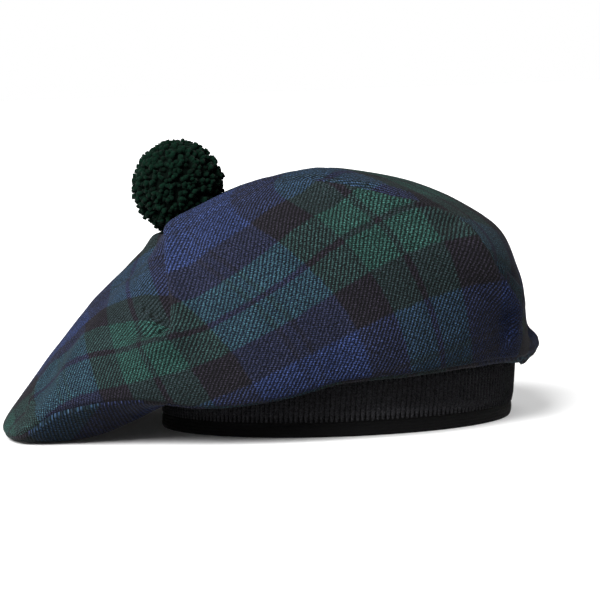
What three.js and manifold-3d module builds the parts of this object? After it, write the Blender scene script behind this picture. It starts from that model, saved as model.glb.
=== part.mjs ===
// Tam o' shanter: a wide round cloth crown that hangs over to one side and lies on the table
// there, its underside, a ribbed knit headband and a yarn pompom on the middle of the crown.
// Millimetres, +Z up, the front faces -Y and the crown hangs over towards -X.
import * as THREE from 'three';
import { mergeVertices } from 'three/addons/utils/BufferGeometryUtils.js';
import Module from 'manifold-3d';

const wasm = await Module();
wasm.setup();

// Driving dimensions
const GAP = 0.3;              // clearance between neighbouring solids
const CLOTH = 2.0;            // thickness of the brushed wool cloth
const BAND_HEIGHT = 30;
const BAND_HALF_LENGTH = 88;  // outside the ribs, along X
const BAND_HALF_WIDTH = 81;   // outside the ribs, along Y
const BAND_LEAN = 3;          // the top of the band stands this much further to +X
const POMPOM_RADIUS = 23.8;   // to the yarn ends
const POMPOM_CENTRE = new THREE.Vector3(-76.5, 10, 118.5);

// Mesh fineness
const MERIDIANS = 60;
const STEPS = [1, 3, 3, 4, 4, 4, 4, 2, 1];  // rings between one level of the crown and the next

// Levels of the crown, from the headband's edge, under the brim seam and up to the pompom.
// share is how far a level's centre has moved from the band's centre to the pompom's.
const LEVELS = [
  { name: 'edge', share: 0 },
  { name: 'lip', share: 0 },
  { name: 'under', share: 0 },
  { name: 'rim', share: 0 },
  { name: 'wall', share: 0.12 },
  { name: 'shoulder', share: 0.45 },
  { name: 'crest', share: 0.75 },
  { name: 'dome', share: 0.9 },
  { name: 'tie', share: 1 },
  { name: 'pole', share: 1 },
];
const LEVEL_OF = Object.fromEntries(LEVELS.map((level, i) => [level.name, i]));
const POLE = new THREE.Vector3(-74, 12, 90);
const TIE_RADIUS = 3;         // the yarn that ties the pompom down

// The crown, a row for each direction seen from above: reach from the level's centre and
// height above the table, for the underside, the rim seam, the wall, shoulder, crest and dome.
const CROWN_COLUMNS = ['angle', 'under', 'rim', 'wall', 'shoulder', 'crest', 'dome'];
const CROWN = [
  [0, [93.5, 27.5], [99.5, 32], [107, 41], [125.5, 69], [135, 95], [66, 124.5]],
  [15, [94.5, 29], [102.5, 32], [110, 43], [130, 72], [138, 96], [66, 124.5]],
  [35, [98, 30], [108, 34], [113, 52], [129, 80], [128, 101], [60, 123]],
  [60, [98, 30], [110, 33], [115, 58], [118, 90], [89, 113], [44, 117]],
  [90, [98, 29], [112, 31], [114, 58], [103, 91], [69, 108], [30, 108]],
  [120, [102, 26], [118, 26], [118, 50], [90, 80], [52, 97], [25, 98]],
  [150, [124, 10], [143, 13], [131, 37], [85, 67], [43, 88], [23, 95.5]],
  [170, [140, 2], [162, 6], [140, 26], [89, 62], [42, 86], [22, 95]],
  [190, [147, 1.4], [167.5, 3.5], [144, 26], [90, 62], [42, 85], [22, 95]],
  [203, [149, 1.2], [169.5, 4], [145, 28], [89, 63], [42, 85], [22, 95]],
  [207, [142, 1.6], [166, 8], [143, 33], [88, 65], [42, 85], [22, 95]],
  [212, [131, 5.5], [158, 17], [140, 41], [87, 69], [41, 86], [22, 95]],
  [225, [107, 21], [138, 23], [131, 44], [85, 76], [44, 91], [24, 96]],
  [240, [100, 27], [123, 19], [122, 46], [90, 83], [50, 98], [27, 98.5]],
  [255, [98, 29], [115, 22], [118, 50], [97, 90], [60, 106], [32, 104]],
  [270, [97, 30], [110, 29], [113, 56], [98, 96], [65, 112], [37, 109.5]],
  [285, [96, 30], [108, 31], [112, 58], [103, 98], [76, 114.5], [44, 115.5]],
  [300, [95, 30], [104, 32], [110, 60], [111, 96], [88, 115], [53, 121]],
  [315, [95, 30], [101, 33], [113, 58], [127, 89], [109, 112], [61, 124]],
  [325, [94.5, 30], [100.5, 32.5], [116, 54], [132, 82], [119, 107], [65, 125.5]],
  [335, [93.5, 29], [99.5, 32], [111, 48], [128, 75], [124, 101], [66, 126]],
  [345, [92, 27.5], [97.5, 32], [106, 43.5], [127, 71], [134, 94], [66, 125]],
];

// Folds of the cloth, each along a few places given as angle and level. The cloth stands
// out by height along the fold and sinks by valley on the left side of its direction.
const FOLDS = [
  {
    name: 'gather in front of the pompom',
    height: 3,
    valley: 4,
    width: 8,
    places: [[228, 4.15], [236, 4.15], [239, 4.4], [239, 4.8], [241, 5.3], [246, 5.8]],
  },
  {
    name: 'front roll over the far side',
    height: 3,
    valley: 6,
    width: 8,
    places: [
      [292, 6.45], [304, 6.4], [309, 6.1], [314, 5.8], [321, 5.7], [327, 5.6],
      [324, 5.4], [321, 5.1], [320, 4.7], [322, 4.4], [327, 4.1], [327, 3.6],
    ],
  },
  {
    name: 'second roll behind the first',
    height: 1.5,
    valley: 1,
    width: 5,
    places: [[300, 6.6], [312, 6.65], [322, 6.5], [332, 6.3], [342, 6.1]],
  },
  {
    name: 'tuck above the end pouch',
    height: 2,
    valley: 4,
    width: 7,
    places: [[324, 5.2], [333, 4.9], [340, 4.7], [344, 4.5], [350, 4.2]],
  },
  {
    name: 'hollow beside the end pouch',
    height: 0.5,
    valley: 2.5,
    width: 6,
    places: [[325, 3.4], [325, 3.8], [323, 4.2]],
  },
  {
    name: 'roll above the end pouch',
    height: 2,
    valley: 4,
    width: 6,
    places: [[339, 3.55], [350, 3.55], [2, 3.6], [14, 3.7]],
  },
  {
    name: 'low fold along the hanging end',
    height: 2,
    valley: 1.5,
    width: 6,
    places: [[206, 3.3], [200, 4], [203, 4.5], [212, 4.8]],
  },
  {
    name: 'soft fold on the back',
    height: 3,
    valley: 2,
    width: 9,
    places: [[120, 3.6], [112, 4.4], [108, 5.2], [118, 5.9]],
  },
  {
    name: 'shallow fold at the back of the end pouch',
    height: 2.5,
    valley: 2,
    width: 8,
    places: [[40, 3.5], [46, 4.3], [38, 5.1]],
  },
];

// Smooth curve around the full turn through one value per direction.
function aroundTurn(values, angle) {
  const count = values.length;
  const turn = ((angle % 360) + 360) % 360;
  let i = count - 1;
  while (CROWN[i][0] > turn) i -= 1;
  const at = (k) => CROWN[(k + count) % count][0] + 360 * Math.floor(k / count);
  const value = (k) => values[(k + count) % count];
  const slope = (k) => (value(k + 1) - value(k - 1)) / (at(k + 1) - at(k - 1));
  const span = at(i + 1) - at(i);
  const s = (turn - at(i)) / span;
  return (2 * s ** 3 - 3 * s ** 2 + 1) * value(i) + (s ** 3 - 2 * s ** 2 + s) * span * slope(i)
    + (3 * s ** 2 - 2 * s ** 3) * value(i + 1) + (s ** 3 - s ** 2) * span * slope(i + 1);
}

// The point of the crown's skin on one level in one direction.
function levelPoint(level, angle) {
  const turn = THREE.MathUtils.degToRad(angle);
  const { name, share } = LEVELS[level];
  if (name === 'pole') return POLE.clone();
  if (name === 'tie') {
    const beside = new THREE.Vector3(Math.cos(turn), Math.sin(turn), 0);
    return POLE.clone().addScaledVector(beside, 2 * TIE_RADIUS);
  }
  if (name === 'edge' || name === 'lip') {
    const flare = name === 'edge' ? -0.4 : 2;
    const rise = name === 'edge' ? GAP : 3.5;
    return new THREE.Vector3(
      BAND_LEAN / 2 + (BAND_HALF_LENGTH + flare) * Math.cos(turn),
      (BAND_HALF_WIDTH + flare) * Math.sin(turn),
      BAND_HEIGHT + rise,
    );
  }
  const column = CROWN_COLUMNS.indexOf(name);
  const reach = aroundTurn(CROWN.map((row) => row[column][0]), angle);
  const height = aroundTurn(CROWN.map((row) => row[column][1]), angle);
  return new THREE.Vector3(
    POLE.x * share + reach * Math.cos(turn),
    POLE.y * share + reach * Math.sin(turn),
    height,
  );
}

// The meridian in one direction: a smooth curve through all its levels.
function meridian(angle) {
  const points = LEVELS.map((level, i) => levelPoint(i, angle));
  return new THREE.CatmullRomCurve3(points, false, 'centripetal');
}

// Rings of points between two levels, each with one point per direction.
function crownRings(first, last) {
  const curves = [];
  for (let i = 0; i < MERIDIANS; i += 1) curves.push(meridian((i * 360) / MERIDIANS));
  const rings = [];
  for (let level = first; level < last; level += 1) {
    for (let k = 0; k < STEPS[level]; k += 1) {
      const at = (level + k / STEPS[level]) / (LEVELS.length - 1);
      rings.push(curves.map((curve) => curve.getPoint(at)));
    }
  }
  rings.push(curves.map((curve) => curve.getPoint(last / (LEVELS.length - 1))));
  return rings;
}

// Outward normals of a sheet given as rings of points, from each point's neighbours.
function sheetNormals(rings) {
  const last = rings.length - 1;
  return rings.map((ring, r) => ring.map((point, i) => {
    const count = ring.length;
    const around = ring[(i + 1) % count].clone().sub(ring[(i + count - 1) % count]);
    const along = rings[Math.min(r + 1, last)][i].clone().sub(rings[Math.max(r - 1, 0)][i]);
    const normal = around.cross(along);
    if (normal.lengthSq() < 1e-9) return new THREE.Vector3(0, 0, 1);  // the pole is one point
    return normal.normalize();
  }));
}

// How far a fold lifts the cloth at one point of the sheet.
function foldLift(fold, path, point, normal) {
  let best = { distance: Infinity };
  for (let k = 0; k + 1 < path.length; k += 1) {
    const stretch = new THREE.Line3(path[k], path[k + 1]);
    const at = stretch.closestPointToPointParameter(point, true);
    const nearest = stretch.at(at, new THREE.Vector3());
    const distance = nearest.distanceTo(point);
    if (distance < best.distance) {
      best = { distance, nearest, along: (k + at) / (path.length - 1), stretch };
    }
  }
  if (best.distance > 4 * fold.width) return 0;
  const forward = best.stretch.delta(new THREE.Vector3());
  const left = normal.clone().cross(forward);
  const side = left.dot(point.clone().sub(best.nearest)) > 0 ? 1 : -1;
  const across = (side * best.distance) / fold.width;
  const fade = THREE.MathUtils.smoothstep(best.along, 0, 0.2)
    * THREE.MathUtils.smoothstep(1 - best.along, 0, 0.2);
  return fade * (fold.height * Math.exp(-(across ** 2)) - fold.valley * Math.exp(-((across - 1.6) ** 2)));
}

// The whole skin of the crown, from the headband to the pompom, with its folds.
function crownSkin() {
  const smooth = crownRings(0, LEVELS.length - 1);
  const normals = sheetNormals(smooth);
  const paths = FOLDS.map((fold) => fold.places.map(
    ([angle, level]) => meridian(angle).getPoint(level / (LEVELS.length - 1)),
  ));
  const rings = smooth.map((ring, r) => ring.map((point, i) => {
    const normal = normals[r][i];
    const lift = FOLDS.reduce((sum, fold, f) => sum + foldLift(fold, paths[f], point, normal), 0);
    return point.clone().addScaledVector(normal, lift);
  }));
  return { rings, normals: sheetNormals(rings) };
}

function geometryFrom(points, faces) {
  const geometry = new THREE.BufferGeometry().setFromPoints(points);
  geometry.setIndex(faces.flat());
  geometry.computeVertexNormals();
  return geometry;
}

// A closed cloth sheet: the skin outside, its offset inside, and an edge where it ends. A last
// ring at the pole is a single point. Both kinds of edge split their quads along the same
// diagonal, so that two sheets that meet at a seam keep an even gap.
function clothGeometry(rings, normals, closedAtPole) {
  const count = rings[0].length;
  const points = [];
  const faces = [];
  const addSkin = (depth) => rings.map((ring, r) => {
    const single = closedAtPole && r === rings.length - 1;
    const first = points.length;
    ring.slice(0, single ? 1 : count).forEach((point, i) => {
      points.push(point.clone().addScaledVector(normals[r][i], -depth));
    });
    return (i) => (single ? first : first + (i % count));
  });
  const addQuad = (a, b, c, d) => {
    if (a !== b) faces.push([a, b, c]);
    if (c !== d) faces.push([a, c, d]);
  };
  const outer = addSkin(0);
  const inner = addSkin(CLOTH);
  for (let i = 0; i < count; i += 1) {
    for (let r = 0; r + 1 < rings.length; r += 1) {
      addQuad(outer[r](i), outer[r](i + 1), outer[r + 1](i + 1), outer[r + 1](i));
      addQuad(inner[r](i + 1), inner[r](i), inner[r + 1](i), inner[r + 1](i + 1));
    }
    addQuad(inner[0](i), inner[0](i + 1), outer[0](i + 1), outer[0](i));
    if (!closedAtPole) {
      const end = rings.length - 1;
      addQuad(outer[end](i + 1), inner[end](i + 1), inner[end](i), outer[end](i));
    }
  }
  return geometryFrom(points, faces);
}

function crownGeometries() {
  const { rings, normals } = crownSkin();
  const rim = STEPS.slice(0, LEVEL_OF.rim).reduce((sum, steps) => sum + steps, 0);
  const parted = (way) => rings[rim].map((point, i) => {
    const along = rings[rim + 1][i].clone().sub(rings[rim - 1][i]).normalize();
    return point.clone().addScaledVector(along, (way * GAP) / 2);
  });
  const underside = [...rings.slice(0, rim), parted(-1)];
  const top = [parted(1), ...rings.slice(rim + 1)];
  return {
    underside: clothGeometry(underside, normals.slice(0, rim + 1), false),
    top: clothGeometry(top, normals.slice(rim), true),
  };
}

// The headband: a flat hem, the ribbed knit standing out above it, and a rounded top edge.
function headbandGeometry() {
  const profile = [
    // out from the ribs' face, height
    [-1.6, 0],
    [-0.9, 0.8],
    [-0.9, 6.5],
    [0, 7.5],
    [0, BAND_HEIGHT - 1],
    [-0.4, BAND_HEIGHT],
    [-2.8, BAND_HEIGHT],
    [-3.4, 1],
    [-2.9, 0],
  ];
  const points = [];
  const faces = [];
  profile.forEach(([out, z]) => {
    for (let i = 0; i < MERIDIANS; i += 1) {
      const turn = (i * 2 * Math.PI) / MERIDIANS;
      const lean = BAND_LEAN * (z / BAND_HEIGHT - 0.5);
      points.push(new THREE.Vector3(
        lean + (BAND_HALF_LENGTH + out) * Math.cos(turn),
        (BAND_HALF_WIDTH + out) * Math.sin(turn),
        z,
      ));
    }
  });
  for (let r = 0; r < profile.length; r += 1) {
    const here = r * MERIDIANS;
    const next = ((r + 1) % profile.length) * MERIDIANS;
    for (let i = 0; i < MERIDIANS; i += 1) {
      const j = (i + 1) % MERIDIANS;
      faces.push([here + i, here + j, next + j]);
      faces.push([here + i, next + j, next + i]);
    }
  }
  return geometryFrom(points, faces);
}

function toSolid(geometry) {
  const bare = geometry.clone();
  bare.deleteAttribute('normal');
  bare.deleteAttribute('uv');
  const merged = mergeVertices(bare);
  const index = merged.index.array;
  const position = merged.attributes.position.array;
  return new wasm.Manifold(new wasm.Mesh({
    numProp: 3,
    vertProperties: Float32Array.from(position),
    triVerts: Uint32Array.from(index),
  }));
}

function fromSolid(solid) {
  const mesh = solid.getMesh();
  const geometry = new THREE.BufferGeometry();
  geometry.setAttribute('position', new THREE.BufferAttribute(mesh.vertProperties, 3));
  geometry.setIndex(new THREE.BufferAttribute(mesh.triVerts, 1));
  geometry.computeVertexNormals();
  return geometry;
}

// The pompom: tufts of cut yarn standing all over a round core, tied down to the crown.
function pompomGeometry() {
  const tufts = 84;
  const coreRadius = POMPOM_RADIUS - 3.4;
  const goldenTurn = Math.PI * (3 - Math.sqrt(5));
  const up = new THREE.Vector3(0, 1, 0);
  let solid = toSolid(new THREE.IcosahedronGeometry(coreRadius, 3));
  for (let i = 0; i < tufts; i += 1) {
    const height = 1 - (2 * (i + 0.5)) / tufts;
    const ring = Math.sqrt(1 - height ** 2);
    const turn = i * goldenTurn;
    const direction = new THREE.Vector3(ring * Math.cos(turn), ring * Math.sin(turn), height);
    const trim = 0.9 * Math.sin(i * 2.4) ** 2;
    const length = 8 - trim;
    const tuft = new THREE.CylinderGeometry(2.5, 4.3, length, 5);
    tuft.translate(0, POMPOM_RADIUS - trim - length / 2, 0);
    tuft.applyQuaternion(new THREE.Quaternion().setFromUnitVectors(up, direction));
    solid = solid.add(toSolid(tuft));
  }
  const tieFoot = POLE.z + GAP - POMPOM_CENTRE.z;
  const tieTop = 3 - coreRadius;
  const tie = new THREE.CylinderGeometry(TIE_RADIUS, TIE_RADIUS, tieTop - tieFoot, 8);
  tie.rotateX(Math.PI / 2);
  tie.translate(POLE.x - POMPOM_CENTRE.x, POLE.y - POMPOM_CENTRE.y, (tieFoot + tieTop) / 2);
  return fromSolid(solid.add(toSolid(tie)));
}

function part(name, geometry, color, roughness) {
  const material = new THREE.MeshStandardMaterial({ color, roughness, metalness: 0 });
  const mesh = new THREE.Mesh(geometry, material);
  mesh.name = name;
  return mesh;
}

const crown = crownGeometries();
const pompom = part('pompom', pompomGeometry(), '#12382a', 0.95);
pompom.position.copy(POMPOM_CENTRE);

const group = new THREE.Group();
group.add(
  part('headband', headbandGeometry(), '#15171a', 0.9),
  part('crown_underside', crown.underside, '#1a2140', 0.9),
  part('crown_top', crown.top, '#1d3a44', 0.9),
  pompom,
);

// The origin lies under the middle of the whole hat, on the table.
const box = new THREE.Box3().setFromObject(group, true);
const middle = box.getCenter(new THREE.Vector3());
group.position.set(-middle.x, -middle.y, -box.min.z);

export default group;
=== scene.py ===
"""Tam o' shanter: a tartan wool crown that droops to one side, its underside, a ribbed knit
headband and a yarn pompom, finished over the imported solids, with a pale floor and soft light.

Sizes of the cloth are in millimetres in the headband's own frame, as a hat maker would measure
them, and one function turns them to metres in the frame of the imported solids.
"""
import functools
import math

import bmesh
import bpy
import numpy as np
from mathutils import Euler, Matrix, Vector, noise


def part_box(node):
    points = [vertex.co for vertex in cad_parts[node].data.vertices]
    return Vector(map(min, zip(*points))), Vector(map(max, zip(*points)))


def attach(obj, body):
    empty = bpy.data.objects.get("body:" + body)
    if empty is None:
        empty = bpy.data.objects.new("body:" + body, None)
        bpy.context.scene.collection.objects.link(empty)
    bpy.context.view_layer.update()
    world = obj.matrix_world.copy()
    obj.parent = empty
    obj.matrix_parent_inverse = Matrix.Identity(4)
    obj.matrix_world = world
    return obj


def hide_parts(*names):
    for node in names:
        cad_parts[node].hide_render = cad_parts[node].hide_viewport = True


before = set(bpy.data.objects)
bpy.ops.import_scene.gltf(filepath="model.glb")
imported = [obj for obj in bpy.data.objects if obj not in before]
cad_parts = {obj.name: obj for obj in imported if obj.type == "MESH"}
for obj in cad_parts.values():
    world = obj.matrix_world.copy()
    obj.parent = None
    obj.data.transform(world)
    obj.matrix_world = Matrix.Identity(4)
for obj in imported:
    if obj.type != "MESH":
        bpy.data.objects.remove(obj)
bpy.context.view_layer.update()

bl_info = {
    "name": "Tam o' shanter",
    "version": (1, 0, 0),
    "blender": (4, 5, 0),
    "location": "View3D > Sidebar > Tam o' shanter",
    "description": "Finishes a droopy tartan wool hat with a pompom and a ribbed headband",
    "category": "Object",
}

MM = 0.001
BODY = "root"

# ---------------------------------------------------------------- the hat's own sizes, in mm

BAND_HEIGHT = 30.0
BAND_HALF_LENGTH = 88.0
BAND_HALF_WIDTH = 81.0
BAND_LEAN = 3.0  # how far the band's top stands to the right of its foot
RIB_BOTTOM = 7.2
RIB_TOP = 29.6
RIB_FULLNESS = 0.46  # half a rib's width, as a share of the room that each rib has
TIE_RADIUS = 3.0
TIE_TOP = 12.0  # how far below the pompom's middle its tie ends
TIE_GAP = 0.2  # how far above the crown it starts
CORE_SHARE = 0.84  # the radius of the pompom's wound core, as a share of the pompom's
POLE = np.array([-74.0, 12.0, 90.0])
POMPOM_CENTRE = np.array([-76.5, 10.0, 118.5])

DIRECTIONS = 324  # points around each ring of cloth
CLOSEST_DIRECTION = 285  # where those points stand closest together, in degrees
CLOSENESS = 0.34  # how much closer than on average they stand there
RIM_CLOSENESS = 1.6  # how strongly the rings crowd together towards the rim, where 1 is evenly

# How far the crown's edge and its lip stand out from the band, and up from the band's top.
COLLAR = {"edge": (-0.4, 0.3), "lip": (2.0, 3.5)}

# Levels of the crown, from the headband's edge to the pompom's tie. share is how far a
# level's centre has moved from the band's centre to the pompom's, and steps is the number
# of rings of cloth from it to the next level.
LEVELS = [
    {"name": "edge", "share": 0.0, "steps": 3},
    {"name": "lip", "share": 0.0, "steps": 12},
    {"name": "under", "share": 0.0, "steps": 15},
    {"name": "rim", "share": 0.0, "steps": 18},
    {"name": "wall", "share": 0.12, "steps": 27},
    {"name": "shoulder", "share": 0.45, "steps": 30},
    {"name": "crest", "share": 0.75, "steps": 27},
    {"name": "dome", "share": 0.9, "steps": 15},
    {"name": "tie", "share": 1.0, "steps": 3},
    {"name": "pole", "share": 1.0, "steps": 0},
]
LEVEL_OF = {level["name"]: i for i, level in enumerate(LEVELS)}

# The crown, a row for each direction seen from above: reach from the level's centre and
# height above the table, for each level named in the columns.
CROWN_COLUMNS = ["under", "rim", "wall", "shoulder", "crest", "dome"]
CROWN = [
    (0, [(93.5, 27.5), (99.5, 32), (107, 41), (125.5, 69), (135, 95), (66, 124.5)]),
    (15, [(94.5, 29), (102.5, 32), (110, 43), (130, 72), (138, 96), (66, 124.5)]),
    (35, [(98, 30), (108, 34), (113, 52), (129, 80), (128, 101), (60, 123)]),
    (60, [(98, 30), (110, 33), (115, 58), (118, 90), (89, 113), (44, 117)]),
    (90, [(98, 29), (112, 31), (114, 58), (103, 91), (69, 108), (30, 108)]),
    (120, [(102, 26), (118, 26), (118, 50), (90, 80), (52, 97), (25, 98)]),
    (150, [(124, 10), (143, 13), (131, 37), (85, 67), (43, 88), (23, 95.5)]),
    (170, [(140, 2), (162, 6), (140, 26), (89, 62), (42, 86), (22, 95)]),
    (190, [(147, 1.4), (167.5, 3.5), (144, 26), (90, 62), (42, 85), (22, 95)]),
    (203, [(149, 1.2), (169.5, 4), (145, 28), (89, 63), (42, 85), (22, 95)]),
    (207, [(142, 1.6), (166, 8), (143, 33), (88, 65), (42, 85), (22, 95)]),
    (212, [(131, 5.5), (158, 17), (140, 41), (87, 69), (41, 86), (22, 95)]),
    (225, [(107, 21), (138, 23), (131, 44), (85, 76), (44, 91), (24, 96)]),
    (240, [(100, 27), (123, 19), (122, 46), (90, 83), (50, 98), (27, 98.5)]),
    (255, [(98, 29), (115, 22), (118, 50), (97, 90), (60, 106), (32, 104)]),
    (270, [(97, 30), (110, 29), (113, 56), (98, 96), (65, 112), (37, 109.5)]),
    (285, [(96, 30), (108, 31), (112, 58), (103, 98), (76, 114.5), (44, 115.5)]),
    (300, [(95, 30), (104, 32), (110, 60), (111, 96), (88, 115), (53, 121)]),
    (315, [(95, 30), (101, 33), (113, 58), (127, 89), (109, 112), (61, 124)]),
    (325, [(94.5, 30), (100.5, 32.5), (116, 54), (132, 82), (119, 107), (65, 125.5)]),
    (335, [(93.5, 29), (99.5, 32), (111, 48), (128, 75), (124, 101), (66, 126)]),
    (345, [(92, 27.5), (97.5, 32), (106, 43.5), (127, 71), (134, 94), (66, 125)]),
]

# Folds of the cloth: name, height, valley, width, and a few places along each, given as angle
# and level. The cloth stands out by height along the fold and sinks by valley on the left
# side of its direction.
FOLDS = [
    ("gather in front of the pompom", 6, 8, 9,
     [(224, 4.2), (232, 4.1), (238, 4.2), (240, 4.5), (241, 4.9), (243, 5.3), (246, 5.8),
      (249, 6.3)]),
    ("front roll over the far side", 5, 9, 8,
     [(292, 6.45), (304, 6.4), (309, 6.1), (314, 5.8), (321, 5.7), (327, 5.6), (324, 5.4),
      (321, 5.1), (320, 4.7), (322, 4.4), (327, 4.1), (327, 3.6)]),
    ("second roll behind the first", 1.5, 2, 5,
     [(300, 6.6), (312, 6.65), (322, 6.5), (332, 6.3), (342, 6.1)]),
    ("tuck above the end pouch", 2, 4, 6,
     [(324, 5.2), (333, 4.9), (340, 4.7), (344, 4.5), (350, 4.2)]),
    ("hollow beside the end pouch", 0.5, 2.5, 6,
     [(325, 3.4), (325, 3.8), (323, 4.2)]),
    ("roll above the end pouch", 1.5, 3, 9,
     [(339, 3.55), (350, 3.55), (2, 3.6), (14, 3.7)]),
    ("low fold along the hanging end", 2, 1.5, 6,
     [(206, 3.3), (200, 4), (203, 4.5), (212, 4.8)]),
    ("soft fold on the back", 3, 2, 9,
     [(120, 3.6), (112, 4.4), (108, 5.2), (118, 5.9)]),
    ("shallow fold at the back of the end pouch", 2.5, 2, 8,
     [(40, 3.5), (46, 4.3), (38, 5.1)]),
]
FOLD_DROP = 0.7  # where a fold's steep side ends, as a share of its width
FOLD_HOLLOW = 1.3  # how slowly the cloth rises out of the hollow there, likewise
FOLD_FADE = 0.2  # the share of a fold's length over which it rises, and over which it dies away
CALM_LEVELS = 1.5  # levels from the headband's edge over which folds and lumps grow

# Small uneven lumps of soft cloth: height, size, and where the noise is read.
LUMPS = [(0.9, 34.0, 3.0), (0.35, 13.0, 8.0)]

# The seam at the rim: a groove, with a ridge at some distance on each side of it.
SEAM_RIDGE = 0.25
SEAM_RIDGE_PLACE = 1.9
SEAM_RIDGE_SPREAD = 1.1
SEAM_GROOVE = 0.25
SEAM_GROOVE_SPREAD = 0.8
SEAM_GAP = 0.08  # how far a piece stops short of the seam, as a share of its step to the next ring

# How the tartan lies on the flat cloth of the crown's top: its turn in degrees, and where
# two black stripes cross.
PATTERN_TURN = 22.5
PATTERN_PLACE = (-12.5, 138.5)

# Where the worn cloth is pulled off its straight grain: a place on the flat cloth and how
# far the threads have slid there.
SLIP_SPREAD = 75.0
SLIPS = [
    ((-5, -75), (25, 40)),
    ((-130, -50), (-35, -10)),
    ((75, -60), (15, -20)),
    ((-5, -155), (-15, 0)),
    ((-70, -45), (0, -15)),
    ((70, -135), (0, -10)),
]

# The deep tuck beyond the front roll hides some cloth, so there the flat cloth has a slit
# from the rim upwards. Its line is given as level and angle.
TUCK_LINE = [(3.0, 328), (4.1, 328), (4.4, 324), (4.7, 322), (5.1, 323), (5.4, 326), (5.6, 327),
             (5.7, 323), (5.8, 316), (6.1, 311), (6.4, 306)]
TUCK_REACH = 40  # how far on each side of the tuck the cloth counts as beside it, in degrees

# The underside's cloth is cut with its stripes at this angle, this far along. This puts blue and
# black stripes where the underside shows, and their darkness there is painted shade.
UNDERSIDE_TURN = 35.0
UNDERSIDE_PLACE = (0, 100)


# ---------------------------------------------------------------- the cloth's shape


def smooth_way(share, start, leave, stop, arrive):
    """Points a share of the way along a curve with given ends, leaving and arriving as given."""
    rise = 3 * share**2 - 2 * share**3
    return ((1 - rise) * start + (share**3 - 2 * share**2 + share) * leave
            + rise * stop + (share**3 - share**2) * arrive)


def around_turn(values, angles):
    """Smooth curve around the full turn through one value per direction of the crown table."""
    at = np.array([row[0] for row in CROWN], float)
    at = np.concatenate([at - 360, at, at + 360])
    values = np.tile(np.asarray(values, float), 3)
    slope = np.zeros(len(at))
    slope[1:-1] = (values[2:] - values[:-2]) / (at[2:] - at[:-2])
    turn = np.mod(angles, 360)
    i = np.searchsorted(at, turn, side="right") - 1
    span = at[i + 1] - at[i]
    share = (turn - at[i]) / span
    return smooth_way(share, values[i], span * slope[i], values[i + 1], span * slope[i + 1])


def level_ring(name, share, angles):
    """Points of one level of the crown's skin in the given directions."""
    cos, sin = np.cos(np.radians(angles)), np.sin(np.radians(angles))
    if name in ("tie", "pole"):
        reach = 2 * TIE_RADIUS if name == "tie" else 0.0
        return POLE + reach * np.stack([cos, sin, np.zeros_like(cos)], axis=1)
    if name in COLLAR:
        flare, rise = COLLAR[name]
        x = BAND_LEAN / 2 + (BAND_HALF_LENGTH + flare) * cos
        y = (BAND_HALF_WIDTH + flare) * sin
        return np.stack([x, y, np.full_like(x, BAND_HEIGHT + rise)], axis=1)
    column = CROWN_COLUMNS.index(name)
    reach = around_turn([row[1][column][0] for row in CROWN], angles)
    height = around_turn([row[1][column][1] for row in CROWN], angles)
    return np.stack([POLE[0] * share + reach * cos, POLE[1] * share + reach * sin, height], axis=1)


def meridian_points(angles, level):
    """Points at one level, which may lie between two, on the smooth curves through them all."""
    rings = [level_ring(row["name"], row["share"], angles) for row in LEVELS]
    i = min(int(level), len(rings) - 2)
    here, after = rings[i], rings[i + 1]
    before = rings[i - 1] if i > 0 else 2 * here - after
    beyond = rings[i + 2] if i + 2 < len(rings) else 2 * after - here

    def knot(a, b):
        return np.maximum(np.sqrt(np.linalg.norm(b - a, axis=1)), 1e-3)[:, None]

    d0, d1, d2 = knot(before, here), knot(here, after), knot(after, beyond)
    leave = ((here - before) / d0 - (after - before) / (d0 + d1) + (after - here) / d1) * d1
    arrive = ((after - here) / d1 - (beyond - here) / (d1 + d2) + (beyond - after) / d2) * d1
    return smooth_way(level - i, here, leave, after, arrive)


def ring_angles(count):
    """The directions of the points of a ring of cloth, closest together where it is most folded."""
    share = np.arange(count) / count
    gather = CLOSENESS * 180 / math.pi
    phase = 2 * math.pi * (share - CLOSEST_DIRECTION / 360)
    return 360 * share - gather * np.sin(phase)


def ring_levels(first, last, thinning=1):
    """The levels of all rings of cloth between two named levels, closest together at the rim."""
    levels = []
    for i in range(LEVEL_OF[first], LEVEL_OF[last]):
        steps = LEVELS[i]["steps"] // thinning
        shares = np.arange(steps) / steps
        if i == LEVEL_OF["rim"]:
            shares = shares**RIM_CLOSENESS
        if i == LEVEL_OF["rim"] - 1:
            shares = 1 - (1 - shares) ** RIM_CLOSENESS
        levels += list(i + shares)
    return levels + [LEVEL_OF[last]]


def sheet_normals(rings):
    """Outward normals of a sheet given as rings of points."""
    around = np.roll(rings, -1, axis=1) - np.roll(rings, 1, axis=1)
    along = np.gradient(rings, axis=0)
    normals = np.cross(around, along)
    length = np.linalg.norm(normals, axis=2, keepdims=True)
    return np.where(length > 1e-9, normals / np.maximum(length, 1e-9), [0.0, 0.0, 1.0])


def ease(share):
    """Runs smoothly from 0 to 1, and stays there."""
    share = np.clip(share, 0, 1)
    return share * share * (3 - 2 * share)


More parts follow.
